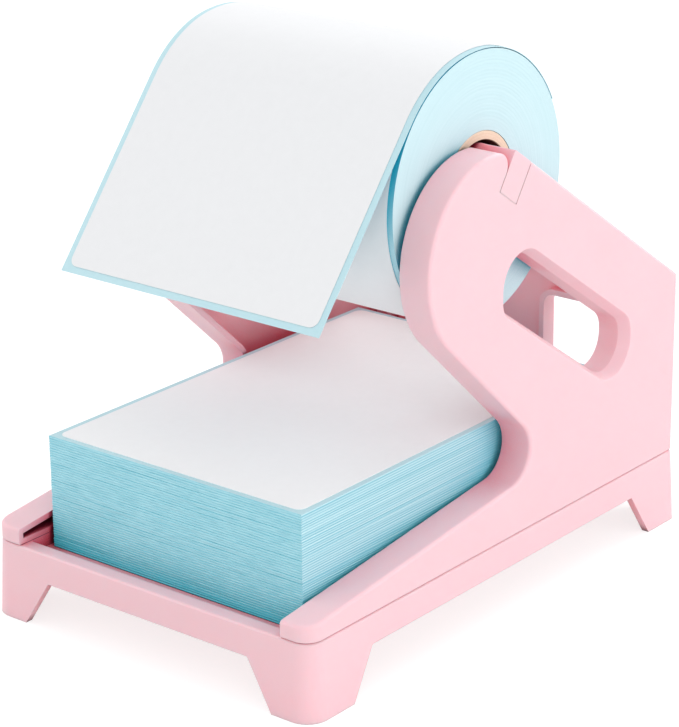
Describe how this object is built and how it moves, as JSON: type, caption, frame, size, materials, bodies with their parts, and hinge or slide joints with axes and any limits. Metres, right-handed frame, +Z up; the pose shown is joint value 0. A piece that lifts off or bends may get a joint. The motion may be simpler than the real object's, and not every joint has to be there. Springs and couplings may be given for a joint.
{
  "type": "label roll holder",
  "caption": "Desktop label roll holder: moulded tray on four feet, two side brackets with a lift-out shaft, label roll above and fan-fold label stack below.",
  "frame": {"origin": "on the ground, in the middle of the base's footprint", "axes": "+Z up, +Y to the back, towards the rear panel, +X to the right seen from the front"},
  "size_m": [0.1364, 0.203, 0.1868],
  "materials": {
    "pink_abs": "satin moulded ABS, pale pink",
    "label_paper": "matt white label paper",
    "liner_paper": "glassine release liner, pale blue",
    "wound_paper": "paper wound in layers, pale blue edges",
    "folded_paper": "paper folded in layers, pale blue edges",
    "core_board": "spiral-wound cardboard, buff",
    "screw_steel": "zinc-plated steel"
  },
  "bodies": {
    "holder": {"base_tray": "pink_abs", "left_bracket": "pink_abs", "right_bracket": "pink_abs", "rear_panel": "pink_abs", "base_screws": "screw_steel"},
    "shaft": {"roll_shaft": "pink_abs", "hanging_liner": "liner_paper", "hanging_label": "label_paper"},
    "roll": {"roll_core": "core_board", "label_roll": "wound_paper", "front_wound_label": "label_paper", "back_wound_label": "label_paper"},
    "stack": {"fanfold_stack": "folded_paper", "stack_top_label": "label_paper"}
  },
  "joints": [
    {"name": "shaft_lift", "type": "slide", "parent": "holder", "child": "shaft", "axis": [0, 0.5628, 0.8266], "range_m": [0, 0.05]},
    {"name": "roll_spin", "type": "hinge", "parent": "shaft", "child": "roll", "pos_m": [0, 0.00274, 0.14155], "axis": [1, 0, 0], "continuous": true},
    {"name": "stack_lift", "type": "slide", "parent": "holder", "child": "stack", "axis": [0, 0, 1], "range_m": [0, 0.034]}
  ]
}
